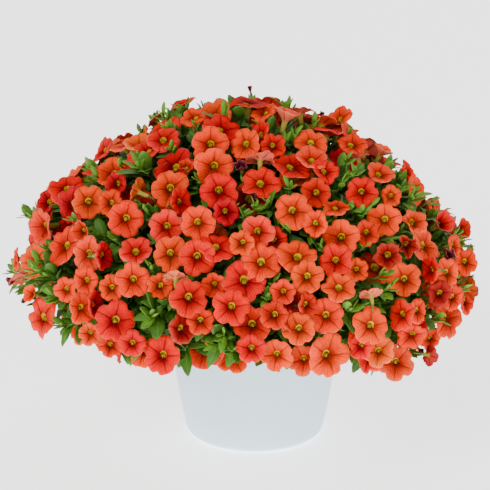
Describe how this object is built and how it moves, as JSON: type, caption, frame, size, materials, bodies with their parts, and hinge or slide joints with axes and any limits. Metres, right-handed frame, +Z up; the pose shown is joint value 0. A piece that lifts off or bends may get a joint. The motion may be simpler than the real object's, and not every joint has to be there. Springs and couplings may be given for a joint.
{
  "type": "potted calibrachoa",
  "caption": "Mounded calibrachoa in full coral-red flower, growing in a plain round tapered plastic pot that stands flat on its base.",
  "frame": {"origin": "centre of the pot's flat base, on the surface that it stands on", "axes": "+Z up along the pot's axis, -Y towards the viewer of the picture, +X to that viewer's right"},
  "size_m": [0.3689, 0.3636, 0.281],
  "materials": {
    "pot_plastic": "smooth pale bluish white, soft sheen",
    "soil": "dark moist peat with bits of bark",
    "bark": "rough greenish-brown young bark",
    "stem": "matte green",
    "leaf": "matte, slightly hairy green leaf",
    "petal": "soft coral red with darker veins and a yellow throat"
  },
  "bodies": {
    "root": {"pot": "pot_plastic", "potting_soil": "soil", "root_crown": "bark", "main_stem_01": "stem", "main_stem_02": "stem", "main_stem_03": "stem", "main_stem_04": "stem", "main_stem_05": "stem", "main_stem_06": "stem", "main_stem_07": "stem", "main_stem_08": "stem", "main_stem_09": "stem", "main_stem_10": "stem", "leafy_shoot_01": "leaf", "leafy_shoot_02": "leaf", "leafy_shoot_03": "leaf", "leafy_shoot_04": "leaf", "leafy_shoot_05": "leaf", "leafy_shoot_06": "leaf", "leafy_shoot_07": "leaf", "leafy_shoot_08": "leaf", "leafy_shoot_09": "leaf", "leafy_shoot_10": "leaf", "leafy_shoot_11": "leaf", "leafy_shoot_12": "leaf", "leafy_shoot_13": "leaf", "leafy_shoot_14": "leaf", "leafy_shoot_15": "leaf", "leafy_shoot_16": "leaf", "leafy_shoot_17": "leaf", "leafy_shoot_18": "leaf", "leafy_shoot_19": "leaf", "leafy_shoot_20": "leaf", "flower_01": "petal", "flower_02": "petal", "flower_03": "petal", "flower_04": "petal", "flower_05": "petal", "flower_06": "petal", "flower_07": "petal", "flower_08": "petal", "flower_09": "petal", "flower_10": "petal", "flower_11": "petal", "flower_12": "petal", "flower_13": "petal", "flower_14": "petal", "flower_15": "petal", "flower_16": "petal", "flower_17": "petal", "flower_18": "petal", "flower_19": "petal", "flower_20": "petal"}
  },
  "joints": []
}
